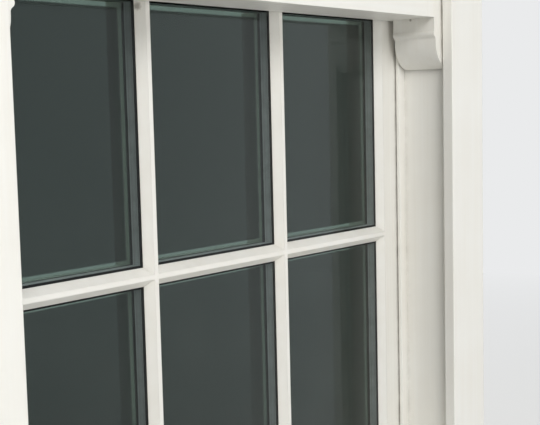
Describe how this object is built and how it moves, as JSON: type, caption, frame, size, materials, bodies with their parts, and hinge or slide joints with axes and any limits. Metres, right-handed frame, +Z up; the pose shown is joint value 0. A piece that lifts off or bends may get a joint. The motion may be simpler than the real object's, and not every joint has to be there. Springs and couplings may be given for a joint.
{
  "type": "sash window",
  "caption": "Vertical sliding box sash window with small panes in both sashes, moulded horns, glazing bars, hidden cords, pulleys and weights, in its timber frame with sill.",
  "frame": {"origin": "middle of the window across the wall, outdoor face of the outer linings, underside of the sill", "axes": "+X along the wall to the right as seen from outdoors, +Y from outdoors to indoors, +Z up"},
  "size_m": [0.93, 0.2415, 1.5294],
  "materials": {
    "painted_timber": "satin",
    "bare_timber": "matte",
    "painted_putty": "satin",
    "clear_glass": "polished",
    "glazing_spacer": "matte",
    "sash_cord": "matte",
    "cast_iron": "matte",
    "steel": "satin",
    "brass": "satin"
  },
  "bodies": {
    "frame": {"sill": "painted_timber", "head_board": "bare_timber", "left_pulley_stile": "painted_timber", "right_pulley_stile": "painted_timber", "left_outer_lining": "painted_timber", "right_outer_lining": "painted_timber", "head_outer_lining": "painted_timber", "left_inner_lining": "painted_timber", "right_inner_lining": "painted_timber", "head_inner_lining": "painted_timber", "back_linings": "bare_timber", "wagtails": "bare_timber", "left_parting_bead": "painted_timber", "right_parting_bead": "painted_timber", "head_parting_bead": "painted_timber", "pocket_pieces": "painted_timber", "left_staff_bead": "painted_timber", "right_staff_bead": "painted_timber", "head_staff_bead": "painted_timber", "sill_staff_bead": "painted_timber", "pulley_cases": "brass", "pulley_axles": "steel", "upper_left_cord": "sash_cord", "upper_right_cord": "sash_cord", "lower_left_cord": "sash_cord", "lower_right_cord": "sash_cord"},
    "upper_sash": {"upper_sash_top_rail": "painted_timber", "upper_sash_left_stile": "painted_timber", "upper_sash_right_stile": "painted_timber", "upper_sash_meeting_rail": "painted_timber", "upper_sash_vertical_bars": "painted_timber", "upper_sash_level_bars": "painted_timber", "upper_sash_putty": "painted_putty", "upper_sash_outer_glass": "clear_glass", "upper_sash_inner_glass": "clear_glass", "upper_sash_spacers": "glazing_spacer", "catch_keeper": "brass"},
    "lower_sash": {"lower_sash_bottom_rail": "painted_timber", "lower_sash_left_stile": "painted_timber", "lower_sash_right_stile": "painted_timber", "lower_sash_meeting_rail": "painted_timber", "lower_sash_vertical_bars": "painted_timber", "lower_sash_level_bars": "painted_timber", "lower_sash_putty": "painted_putty", "lower_sash_outer_glass": "clear_glass", "lower_sash_inner_glass": "clear_glass", "lower_sash_spacers": "glazing_spacer", "catch_base": "brass", "sash_handles": "brass"},
    "catch_lever": {"catch_lever": "brass"},
    "upper_left_weight": {"upper_left_weight": "cast_iron"},
    "upper_left_pulley_wheel": {"upper_left_pulley_wheel": "brass"},
    "upper_right_weight": {"upper_right_weight": "cast_iron"},
    "upper_right_pulley_wheel": {"upper_right_pulley_wheel": "brass"},
    "lower_left_weight": {"lower_left_weight": "cast_iron"},
    "lower_left_pulley_wheel": {"lower_left_pulley_wheel": "brass"},
    "lower_right_weight": {"lower_right_weight": "cast_iron"},
    "lower_right_pulley_wheel": {"lower_right_pulley_wheel": "brass"}
  },
  "joints": [
    {"name": "lower_sash_slide", "type": "slide", "parent": "frame", "child": "lower_sash", "axis": [0, 0, 1], "range_m": [0, 0.59], "deforming": ["lower_left_cord", "lower_right_cord"]},
    {"name": "upper_sash_slide", "type": "slide", "parent": "frame", "child": "upper_sash", "axis": [0, 0, 1], "range_m": [-0.59, 0], "deforming": ["upper_left_cord", "upper_right_cord"]},
    {"name": "catch_turn", "type": "hinge", "parent": "lower_sash", "child": "catch_lever", "pos_m": [0, 0.113, 0.8254], "axis": [0, 0, -1], "range_deg": [0, 90]},
    {"name": "upper_left_weight_slide", "type": "slide", "parent": "frame", "child": "upper_left_weight", "axis": [0, 0, 1], "range_m": [0, 0.59]},
    {"name": "upper_left_pulley_turn", "type": "hinge", "parent": "frame", "child": "upper_left_pulley_wheel", "pos_m": [-0.415, 0.052, 1.42441], "axis": [0, 1, 0], "range_deg": [0, 1438.5]},
    {"name": "upper_right_weight_slide", "type": "slide", "parent": "frame", "child": "upper_right_weight", "axis": [0, 0, 1], "range_m": [0, 0.59]},
    {"name": "upper_right_pulley_turn", "type": "hinge", "parent": "frame", "child": "upper_right_pulley_wheel", "pos_m": [0.415, 0.052, 1.42441], "axis": [0, 1, 0], "range_deg": [-1438.5, 0]},
    {"name": "lower_left_weight_slide", "type": "slide", "parent": "frame", "child": "lower_left_weight", "axis": [0, 0, 1], "range_m": [-0.59, 0]},
    {"name": "lower_left_pulley_turn", "type": "hinge", "parent": "frame", "child": "lower_left_pulley_wheel", "pos_m": [-0.415, 0.132, 1.42441], "axis": [0, 1, 0], "range_deg": [-1438.5, 0]},
    {"name": "lower_right_weight_slide", "type": "slide", "parent": "frame", "child": "lower_right_weight", "axis": [0, 0, 1], "range_m": [-0.59, 0]},
    {"name": "lower_right_pulley_turn", "type": "hinge", "parent": "frame", "child": "lower_right_pulley_wheel", "pos_m": [0.415, 0.132, 1.42441], "axis": [0, 1, 0], "range_deg": [0, 1438.5]}
  ],
  "couplings": [
    {"joint": "upper_left_weight_slide", "follows": "upper_sash_slide", "ratio": -1},
    {"joint": "upper_left_pulley_turn", "follows": "upper_sash_slide", "rad_per_m": -42.553},
    {"joint": "upper_right_weight_slide", "follows": "upper_sash_slide", "ratio": -1},
    {"joint": "upper_right_pulley_turn", "follows": "upper_sash_slide", "rad_per_m": 42.553},
    {"joint": "lower_left_weight_slide", "follows": "lower_sash_slide", "ratio": -1},
    {"joint": "lower_left_pulley_turn", "follows": "lower_sash_slide", "rad_per_m": -42.553},
    {"joint": "lower_right_weight_slide", "follows": "lower_sash_slide", "ratio": -1},
    {"joint": "lower_right_pulley_turn", "follows": "lower_sash_slide", "rad_per_m": 42.553}
  ]
}
